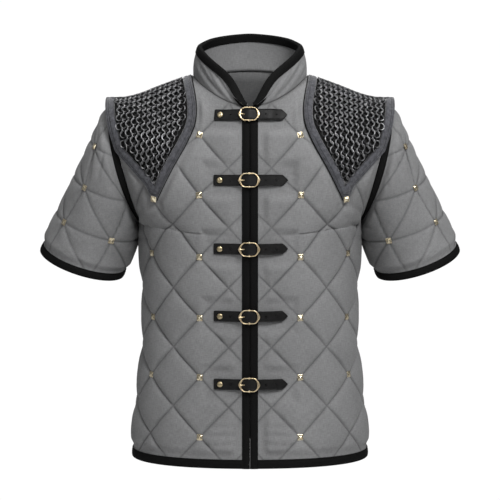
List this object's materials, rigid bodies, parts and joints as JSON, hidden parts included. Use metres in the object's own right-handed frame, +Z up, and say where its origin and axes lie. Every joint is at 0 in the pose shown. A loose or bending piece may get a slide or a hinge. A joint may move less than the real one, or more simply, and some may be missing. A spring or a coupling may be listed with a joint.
{
  "type": "gambeson",
  "caption": "Short-sleeved quilted jacket with a stand collar, mail shoulder patches, pyramid studs and buckled straps down the front, in its worn hollow form.",
  "frame": {"origin": "the middle of the neck opening, level with the sides of the neck, where the collar rests on the wearer", "axes": "+Z up the wearer's neck, -Y out of the front of the garment, +X towards the wearer's left"},
  "size_m": [0.7368, 0.2835, 0.7412],
  "materials": {
    "quilted_cloth": "matt woven grey melange",
    "binding_tape": "matt black tape",
    "mail_mesh": "dark linked wire with worn bright tops",
    "velvet_border": "worn blue-grey velvet",
    "strap_leather": "satin black",
    "buckle_brass": "polished, a little tarnished",
    "stud_gilt": "pale gilt"
  },
  "bodies": {
    "root": {"front_left": "quilted_cloth", "front_right": "quilted_cloth", "back_panel": "quilted_cloth", "sleeve_left": "quilted_cloth", "sleeve_right": "quilted_cloth", "collar": "quilted_cloth", "armhole_binding_left": "binding_tape", "armhole_binding_right": "binding_tape", "front_edge_binding_left": "binding_tape", "front_edge_binding_right": "binding_tape", "cuff_binding_left": "binding_tape", "cuff_binding_right": "binding_tape", "hem_binding": "binding_tape", "collar_binding": "binding_tape", "mail_patch_left": "mail_mesh", "mail_patch_right": "mail_mesh", "patch_border_left": "velvet_border", "patch_border_right": "velvet_border", "strap_1": "strap_leather", "strap_2": "strap_leather", "strap_3": "strap_leather", "strap_4": "strap_leather", "strap_5": "strap_leather", "chape_1": "strap_leather", "chape_2": "strap_leather", "chape_3": "strap_leather", "chape_4": "strap_leather", "chape_5": "strap_leather", "buckle_1": "buckle_brass", "buckle_2": "buckle_brass", "buckle_3": "buckle_brass", "buckle_4": "buckle_brass", "buckle_5": "buckle_brass", "rivet_1": "buckle_brass", "rivet_2": "buckle_brass", "rivet_3": "buckle_brass", "rivet_4": "buckle_brass", "rivet_5": "buckle_brass", "stud_left_1": "stud_gilt", "stud_left_2": "stud_gilt", "stud_left_3": "stud_gilt", "stud_left_4": "stud_gilt", "stud_left_5": "stud_gilt", "stud_left_6": "stud_gilt", "stud_left_7": "stud_gilt", "stud_left_8": "stud_gilt", "stud_left_9": "stud_gilt", "stud_right_1": "stud_gilt", "stud_right_2": "stud_gilt", "stud_right_3": "stud_gilt", "stud_right_4": "stud_gilt", "stud_right_5": "stud_gilt", "stud_right_6": "stud_gilt", "stud_right_7": "stud_gilt", "stud_right_8": "stud_gilt", "stud_right_9": "stud_gilt"}
  },
  "joints": []
}
